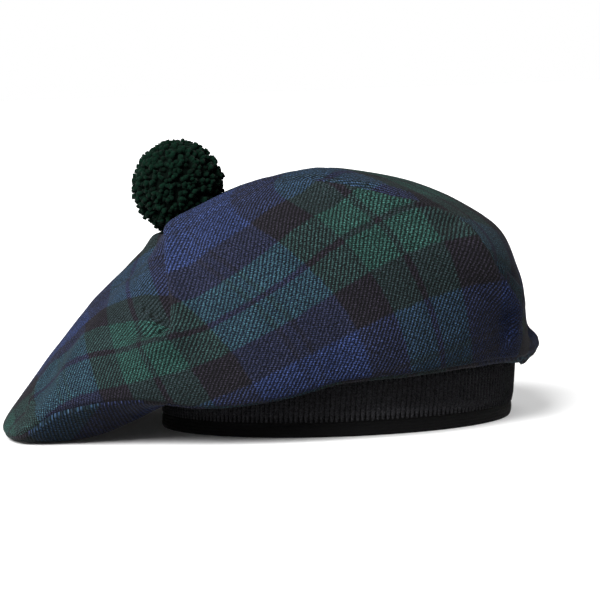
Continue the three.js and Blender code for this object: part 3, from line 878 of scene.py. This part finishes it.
def yarn_end_tree():
    """Cut yarn ends that stand out all over a ball, spread evenly by the golden angle."""
    number, whole = "NodeSocketFloat", "NodeSocketInt"
    tree, given = new_tree("Cut yarn ends", {
        "Middle": "NodeSocketVector", "Radius": number, "Ends": whole, "Yarn": number,
        "Length": number, "Unevenness": number, "Fray": number, "Material": "NodeSocketMaterial",
    })

    # the even places: equal steps down the ball's height, each a golden angle further round
    index = add(tree, "GeometryNodeInputIndex")
    step = add(tree, "ShaderNodeMath", {0: index, 1: 0.5}, operation="ADD")
    share = add(tree, "ShaderNodeMath", {0: step, 1: given["Ends"]}, operation="DIVIDE")
    height = add(tree, "ShaderNodeMath", {0: share, 1: -2.0, 2: 1.0}, operation="MULTIPLY_ADD")
    squared = add(tree, "ShaderNodeMath", {0: height, 1: height}, operation="MULTIPLY")
    left = add(tree, "ShaderNodeMath", {0: 1.0, 1: squared}, operation="SUBTRACT")
    reach = add(tree, "ShaderNodeMath", {0: left}, operation="SQRT")
    golden_angle = math.pi * (3 - math.sqrt(5))
    turn = add(tree, "ShaderNodeMath", {0: index, 1: golden_angle}, operation="MULTIPLY")
    x, y = (
        add(tree, "ShaderNodeMath", {
            0: reach, 1: add(tree, "ShaderNodeMath", {0: turn}, operation=wave),
        }, operation="MULTIPLY")
        for wave in ("COSINE", "SINE"))
    way = add(tree, "ShaderNodeCombineXYZ", {"X": x, "Y": y, "Z": height})

    # each end strays from its even place, stands at its own height and leans its own way
    stray = add(tree, "FunctionNodeRandomValue", {
        0: (-END_STRAY,) * 3, 1: (END_STRAY,) * 3, "Seed": 4}, data_type="FLOAT_VECTOR")
    strayed = add(tree, "ShaderNodeVectorMath", {0: way, 1: stray}, operation="ADD")
    out = add(tree, "ShaderNodeVectorMath", {0: strayed}, operation="NORMALIZE")
    uneven = add(tree, "FunctionNodeRandomValue", {
        2: 0.0, 3: 1.0, "Seed": 9}, data_type="FLOAT").outputs[1]
    lower = add(tree, "ShaderNodeMath", {0: uneven, 1: given["Unevenness"]}, operation="MULTIPLY")
    tip = add(tree, "ShaderNodeMath", {0: given["Radius"], 1: lower}, operation="SUBTRACT")
    halfway = add(tree, "ShaderNodeMath", {
        0: given["Length"], 1: -0.5, 2: tip}, operation="MULTIPLY_ADD")
    spot = add(tree, "ShaderNodeVectorMath", {0: out, "Scale": halfway}, operation="SCALE")
    cloud = add(tree, "GeometryNodePoints", {"Count": given["Ends"], "Position": spot})
    end = add(tree, "GeometryNodeMeshCylinder", {
        "Vertices": 7, "Side Segments": 3, "Radius": 0.5, "Depth": 1.0}, fill_type="TRIANGLE_FAN")
    tilt = add(tree, "FunctionNodeRandomValue", {
        0: (-END_LEAN,) * 3, 1: (END_LEAN,) * 3, "Seed": 15}, data_type="FLOAT_VECTOR")
    outward = add(tree, "ShaderNodeVectorMath", {
        0: add(tree, "GeometryNodeInputPosition")}, operation="NORMALIZE")
    leaned = add(tree, "ShaderNodeVectorMath", {0: outward, 1: tilt}, operation="ADD")
    facing = add(tree, "FunctionNodeAlignRotationToVector", {"Vector": leaned}, axis="Z")
    thick = add(tree, "FunctionNodeRandomValue", {
        2: END_THICKNESS[0], 3: END_THICKNESS[1], "Seed": 21}, data_type="FLOAT").outputs[1]
    wide = add(tree, "ShaderNodeMath", {0: given["Yarn"], 1: thick}, operation="MULTIPLY")
    size = add(tree, "ShaderNodeCombineXYZ", {"X": wide, "Y": wide, "Z": given["Length"]})
    ends = add(tree, "GeometryNodeInstanceOnPoints", {
        "Points": cloud, "Instance": end, "Rotation": facing, "Scale": size})
    real = add(tree, "GeometryNodeRealizeInstances", {"Geometry": ends})

    # fray the ends, most at their tips
    point = add(tree, "GeometryNodeInputPosition")
    far = add(tree, "ShaderNodeVectorMath", {0: point}, operation="LENGTH").outputs["Value"]
    foot = add(tree, "ShaderNodeMath", {
        0: given["Radius"], 1: given["Length"]}, operation="SUBTRACT")
    loose = add(tree, "ShaderNodeMapRange", {
        "Value": far, "From Min": foot, "From Max": given["Radius"], "To Min": FRAY_AT_FOOT})
    rough = add(tree, "ShaderNodeTexNoise", {
        "Vector": point, "Scale": FRAY_LUMPS / MM, "Detail": 1.0})
    aside = add(tree, "ShaderNodeVectorMath", {
        0: rough.outputs["Color"], 1: (0.5, 0.5, 0.5)}, operation="SUBTRACT")
    fray = add(tree, "ShaderNodeMath", {0: loose, 1: given["Fray"]}, operation="MULTIPLY")
    frayed = add(tree, "ShaderNodeVectorMath", {0: aside, "Scale": fray}, operation="SCALE")
    fluffed = add(tree, "GeometryNodeSetPosition", {"Geometry": real, "Offset": frayed})
    placed = add(tree, "GeometryNodeTransform", {
        "Geometry": fluffed, "Translation": given["Middle"]})
    return close_tree(tree, given, placed)


# ---------------------------------------------------------------- sizes and colours to change


def length_property(name, description, default):
    """A length in metres that a user may change."""
    return bpy.props.FloatProperty(name=name, description=description, default=default,
                                   unit="LENGTH", precision=4)


def colour_property(name, description, code):
    """A colour that a user may change, given as an sRGB hex value."""
    return bpy.props.FloatVectorProperty(name=name, description=description, subtype="COLOR",
                                         size=4, default=linear(code), min=0.0, max=1.0)


class TamCloth(bpy.types.PropertyGroup):
    """The tartan wool of the crown and its underside."""

    thickness: length_property("Thickness", "Thickness of the brushed wool cloth", 2.0 * MM)
    twill_pitch: length_property(
        "Twill pitch", "Distance between two diagonal lines of the weave", 1.7 * MM)
    top_cut: length_property(
        "Top cut", "Diameter that the top of the crown was cut to", 345 * MM)
    under_cut: length_property(
        "Underside cut", "Outer diameter that the underside was cut to", 260 * MM)
    green: colour_property("Green", "The green yarns of the tartan", "#1a322e")
    blue: colour_property("Blue", "The blue yarns of the tartan", "#1d2643")
    navy: colour_property("Navy", "The thin dark lines within the blue", "#1a1f33")
    black: colour_property("Black", "The black yarns of the tartan", "#141218")


class TamKnit(bpy.types.PropertyGroup):
    """The ribbed knit of the headband."""

    ribs: bpy.props.IntProperty(
        name="Ribs", description="Ribs of knit around the band", default=214, min=20)
    rib_depth: length_property("Rib depth", "How far a rib stands out of the band", 0.9 * MM)
    stitch: length_property("Stitch", "Height of one knitted stitch", 1.5 * MM)
    colour: colour_property("Colour", "The headband's yarn", "#48484c")
    # the hem's near-black is painted shade: it stands in for the dark strip of shade under the
    # ribs, and the backing between the ribs and the band's inside share it
    hem_shade_colour: colour_property(
        "Hem colour", "The darker yarn of the plain hem and backing", "#040405")


class TamPompom(bpy.types.PropertyGroup):
    """The yarn pompom."""

    radius: length_property("Radius", "From the middle to the longest yarn ends", 24.0 * MM)
    ends: bpy.props.IntProperty(
        name="Yarn ends", description="Cut yarn ends over the ball", default=1250, min=50)
    yarn: length_property("Yarn", "Thickness of the yarn", 2.2 * MM)
    colour: colour_property("Colour", "The pompom's yarn", "#04160e")


class TamStage(bpy.types.PropertyGroup):
    """The floor, the lights and the camera."""

    distance: length_property("Distance", "From the camera to the hat", 1.5)
    lens: bpy.props.FloatProperty(
        name="Lens", description="Focal length in mm", default=180.0, min=10.0)
    elevation: bpy.props.FloatProperty(
        name="Elevation", description="Camera's angle above the floor",
        default=math.radians(4.2), subtype="ANGLE")
    roll: bpy.props.FloatProperty(
        name="Roll", description="How far the camera leans to its right",
        default=math.radians(2.0), subtype="ANGLE")


# ---------------------------------------------------------------- the makers


def cloth_finish(context):
    """The tartan wool, made once for the two pieces of cloth."""
    cloth = context.scene.tam_cloth
    colours = {"green": cloth.green, "blue": cloth.blue, "navy": cloth.navy, "black": cloth.black}
    made = bpy.data.materials.get("brushed tartan wool")
    return made or brushed_tartan_wool("brushed tartan wool", colours, cloth.twill_pitch / MM)


class TAM_OT_crown_top(bpy.types.Operator):
    """Makes the top of the crown, one piece of tartan from the rim up to the pompom's tie"""

    bl_idname = "tam.crown_top"
    bl_label = "Top of the crown"

    def execute(self, context):
        cloth = context.scene.tam_cloth
        rings, normals = crown_part("rim", "pole")
        flat = pattern_on(flat_crown())
        rings = rings.copy()
        rings[0] += (rings[1] - rings[0]) * SEAM_GAP
        piece = cloth_piece("top_of_crown", rings, normals, cloth.thickness / MM, flat, True)
        piece.data.materials.append(cloth_finish(context))
        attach(piece, BODY)
        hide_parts("crown_top")
        return {"FINISHED"}


class TAM_OT_crown_underside(bpy.types.Operator):
    """Makes the underside of the crown, a ring of tartan from the headband out to the rim"""

    bl_idname = "tam.crown_underside"
    bl_label = "Underside of the crown"

    def execute(self, context):
        cloth = context.scene.tam_cloth
        rings, normals = crown_part("edge", "rim")
        rings = rings.copy()
        rings[-1] += (rings[-2] - rings[-1]) * SEAM_GAP
        flat = rings[..., :2] @ turned(-UNDERSIDE_TURN) + np.array(UNDERSIDE_PLACE)
        piece = cloth_piece("underside_of_crown", rings, normals, cloth.thickness / MM, flat, False)
        piece.data.materials.append(cloth_finish(context))
        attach(piece, BODY)
        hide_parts("crown_underside")
        return {"FINISHED"}


class TAM_OT_headband(bpy.types.Operator):
    """Knits the headband: a plain hem at the bottom and upright ribs above it"""

    bl_idname = "tam.headband"
    bl_label = "Ribbed headband"

    def execute(self, context):
        knit = context.scene.tam_knit
        depth = knit.rib_depth / MM
        # the wall's section, as places out from the band's outside and up from the table
        hem = [(-1.9, 0.0), (-1.3, 0.15), (-0.8, 0.9), (-0.55, 2.2), (-0.5, 4.2), (-0.7, 5.8),
               (-1.3, 6.8)]
        backing = [(-depth - 0.25, 7.6), (-depth, 12.0), (-depth, 20.0), (-depth, 28.0),
                   (-depth - 0.3, 29.3), (-depth - 0.9, BAND_HEIGHT)]
        inside = [(-2.6, BAND_HEIGHT), (-2.9, 29.0), (-3.1, 15.0), (-3.3, 1.0), (-2.8, 0.0)]
        turns = np.radians(np.arange(360))
        rings = []
        for out, height in hem + backing + inside:
            lean = BAND_LEAN * (height / BAND_HEIGHT - 0.5)
            rings.append(np.stack([lean + (BAND_HALF_LENGTH + out) * np.cos(turns),
                                   (BAND_HALF_WIDTH + out) * np.sin(turns),
                                   np.full_like(turns, height)], axis=1))
        rings = np.stack(rings + [rings[0]])
        faces = grid_faces(len(rings), len(turns)).tolist()
        band = mesh_piece("headband_wall", to_row(rings.reshape(-1, 3)), faces)
        merge_doubles(band.data)
        finish = ribbed_knit("ribbed wool knit", knit.colour, knit.stitch / MM)
        # the wall's near-black knit is painted shade under the ribs, in the gaps between them and
        # inside the band
        plain = ribbed_knit("knit hem dark as painted shade", knit.hem_shade_colour, knit.stitch / MM)
        band.data.materials.append(plain)
        ribs = mesh_piece("headband_ribs", [], [])
        around = math.pi * (BAND_HALF_LENGTH + BAND_HALF_WIDTH) * MM
        run_tree(ribs, rib_tree(), {
            "Middle": tuple(to_row((0.0, 0.0, 0.0))),
            "Half length": (BAND_HALF_LENGTH - depth) * MM,
            "Half width": (BAND_HALF_WIDTH - depth) * MM,
            "Bottom": RIB_BOTTOM * MM,
            "Top": RIB_TOP * MM,
            "Lean": BAND_LEAN * MM,
            "Ribs": knit.ribs,
            "Rib width": RIB_FULLNESS * around / knit.ribs,
            "Rib depth": knit.rib_depth,
            "Material": finish,
        })
        for piece in (band, ribs):
            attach(piece, BODY)
            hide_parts("headband")
        return {"FINISHED"}


class TAM_OT_pompom(bpy.types.Operator):
    """Makes the pompom: a core of wound yarn, cut ends all over it and the tie beneath it"""

    bl_idname = "tam.pompom"
    bl_label = "Yarn pompom"

    def execute(self, context):
        pompom = context.scene.tam_pompom
        tools = bmesh.new()
        bmesh.ops.create_icosphere(tools, subdivisions=4, radius=pompom.radius * CORE_SHARE)
        bmesh.ops.translate(tools, verts=tools.verts, vec=Vector(to_row(POMPOM_CENTRE)))
        tie_bottom = to_row(POLE + np.array([0.0, 0.0, TIE_GAP]))
        tie_top = to_row(POMPOM_CENTRE - np.array([0.0, 0.0, TIE_TOP]))
        tie = bmesh.ops.create_cone(
            tools, cap_ends=True, segments=24, radius1=TIE_RADIUS * MM,
            radius2=0.8 * TIE_RADIUS * MM, depth=float(tie_top[2] - tie_bottom[2]))
        bmesh.ops.translate(tools, verts=tie["verts"], vec=Vector((tie_bottom + tie_top) / 2))
        mesh = bpy.data.meshes.new("yarn_pompom")
        tools.to_mesh(mesh)
        tools.free()
        piece = bpy.data.objects.new("yarn_pompom", mesh)
        context.scene.collection.objects.link(piece)
        finish = cut_yarn("cut wool yarn", pompom.colour)
        run_tree(piece, yarn_end_tree(), {
            "Middle": tuple(to_row(POMPOM_CENTRE)),
            "Radius": pompom.radius,
            "Ends": pompom.ends,
            "Yarn": pompom.yarn,
            "Length": 7.0 * MM,
            "Unevenness": 2.6 * MM,
            "Fray": 1.6 * MM,
            "Material": finish,
        })
        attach(piece, BODY)
        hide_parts("pompom")
        return {"FINISHED"}


CAMERA_TARGET = np.array([-17.5, 0.0, 60.0])  # in mm about the headband
FLOOR_REACH = 40.0  # in metres

# The studio's soft light, which is the product of four tones. Each follows one part of the
# direction that the light comes from, over a span, from one strength to another: dim from
# the floor, weaker from the zenith, dim from the right, and strongest from the front.
STUDIO_LIGHT = [
    ("Z", (-0.1, 0.1), (0.03, 0.5)),
    ("Z", (0.0, 1.0), (1.25, 0.3)),
    ("X", (-0.8, 0.5), (1.0, 0.03)),
    ("Y", (-1.0, 0.8), (1.9, 0.05)),
]


def sun(name, strength, spread, turn, height):
    """A soft light from far away, at an angle round from the front and a height above the floor."""
    light = bpy.data.lights.new(name, "SUN")
    light.energy = strength
    light.angle = math.radians(spread)
    lamp = bpy.data.objects.new(name, light)
    lamp.rotation_euler = Euler((math.radians(90 - height), 0.0, math.radians(turn)))
    bpy.context.scene.collection.objects.link(lamp)
    return lamp


class TAM_OT_stage(bpy.types.Operator):
    """Sets the pale floor, the soft lights and the camera"""

    bl_idname = "tam.stage"
    bl_label = "Floor, lights and camera"

    def execute(self, context):
        scene = context.scene
        stage = scene.tam_stage
        corners = [(x, y, 0) for x, y in ((-1, -1), (1, -1), (1, 1), (-1, 1))]
        floor = mesh_piece("pale_floor", np.array(corners) * FLOOR_REACH, [(0, 1, 2, 3)],
                           smooth=False)
        floor.data.materials.append(pale_backdrop("pale floor"))
        floor.visible_diffuse = False

        world = bpy.data.worlds.new("studio")
        scene.world = world
        world.use_nodes = True
        tree = world.node_tree
        tree.nodes.clear()
        direction = add(tree, "ShaderNodeTexCoord").outputs["Generated"]
        towards = add(tree, "ShaderNodeSeparateXYZ", {0: direction})
        ambient = tones(tree, [(towards.outputs[axis], span, light)
                               for axis, span, light in STUDIO_LIGHT])
        seen = add(tree, "ShaderNodeLightPath").outputs["Is Camera Ray"]
        strength = add(tree, "ShaderNodeMix", {0: seen, 2: ambient, 3: 1.0})
        backdrop = add(tree, "ShaderNodeBackground", {"Color": (1, 1, 1, 1), "Strength": strength})
        add(tree, "ShaderNodeOutputWorld", {"Surface": backdrop})
        sun("key light", strength=5.4, spread=40.0, turn=-33.0, height=42.0)
        paler = sun("light for the floor", strength=2.4, spread=60.0, turn=75.0, height=50.0)
        paler.light_linking.receiver_collection = bpy.data.collections.new("floor alone")
        paler.light_linking.receiver_collection.objects.link(floor)

        camera = bpy.data.cameras.new("camera")
        camera.lens = stage.lens
        camera.sensor_width = 36.0
        camera.clip_end = 100.0
        view = bpy.data.objects.new("camera", camera)
        scene.collection.objects.link(view)
        target = Vector(to_row(CAMERA_TARGET))
        ahead = Vector((0.0, math.cos(stage.elevation), -math.sin(stage.elevation)))
        view.location = target - ahead * stage.distance
        level = ahead.to_track_quat("-Z", "Y")
        view.rotation_mode = "QUATERNION"
        view.rotation_quaternion = level @ Euler((0.0, 0.0, -stage.roll)).to_quaternion()
        scene.camera = view
        scene.view_settings.view_transform = "Standard"
        return {"FINISHED"}


class TAM_PT_panel(bpy.types.Panel):
    """Lists the hat's sizes and colours and its makers"""

    bl_idname = "TAM_PT_panel"
    bl_label = "Tam o' shanter"
    bl_space_type = "VIEW_3D"
    bl_region_type = "UI"
    bl_category = "Tam o' shanter"

    def draw(self, context):
        scene = context.scene
        groups = [
            (scene.tam_cloth, [TAM_OT_crown_top, TAM_OT_crown_underside]),
            (scene.tam_knit, [TAM_OT_headband]),
            (scene.tam_pompom, [TAM_OT_pompom]),
            (scene.tam_stage, [TAM_OT_stage]),
        ]
        for settings, makers in groups:
            box = self.layout.box()
            for name in settings.__annotations__:
                box.prop(settings, name)
            for maker in makers:
                box.operator(maker.bl_idname)


SETTINGS = {"tam_cloth": TamCloth, "tam_knit": TamKnit, "tam_pompom": TamPompom,
            "tam_stage": TamStage}
MAKERS = [TAM_OT_stage, TAM_OT_crown_underside, TAM_OT_crown_top, TAM_OT_headband, TAM_OT_pompom]


def register():
    """Makes the settings, the makers and the panel known to Blender."""
    for kind in [*SETTINGS.values(), *MAKERS, TAM_PT_panel]:
        bpy.utils.register_class(kind)
    for name, kind in SETTINGS.items():
        setattr(bpy.types.Scene, name, bpy.props.PointerProperty(type=kind))


def unregister():
    """Takes them all away again."""
    for name in SETTINGS:
        delattr(bpy.types.Scene, name)
    for kind in reversed([*SETTINGS.values(), *MAKERS, TAM_PT_panel]):
        bpy.utils.unregister_class(kind)


def main():
    """Makes the stage and the hat's pieces."""
    register()
    bpy.ops.tam.stage()
    bpy.ops.tam.crown_underside()
    bpy.ops.tam.crown_top()
    bpy.ops.tam.headband()
    bpy.ops.tam.pompom()


if __name__ == "__main__":
    main()
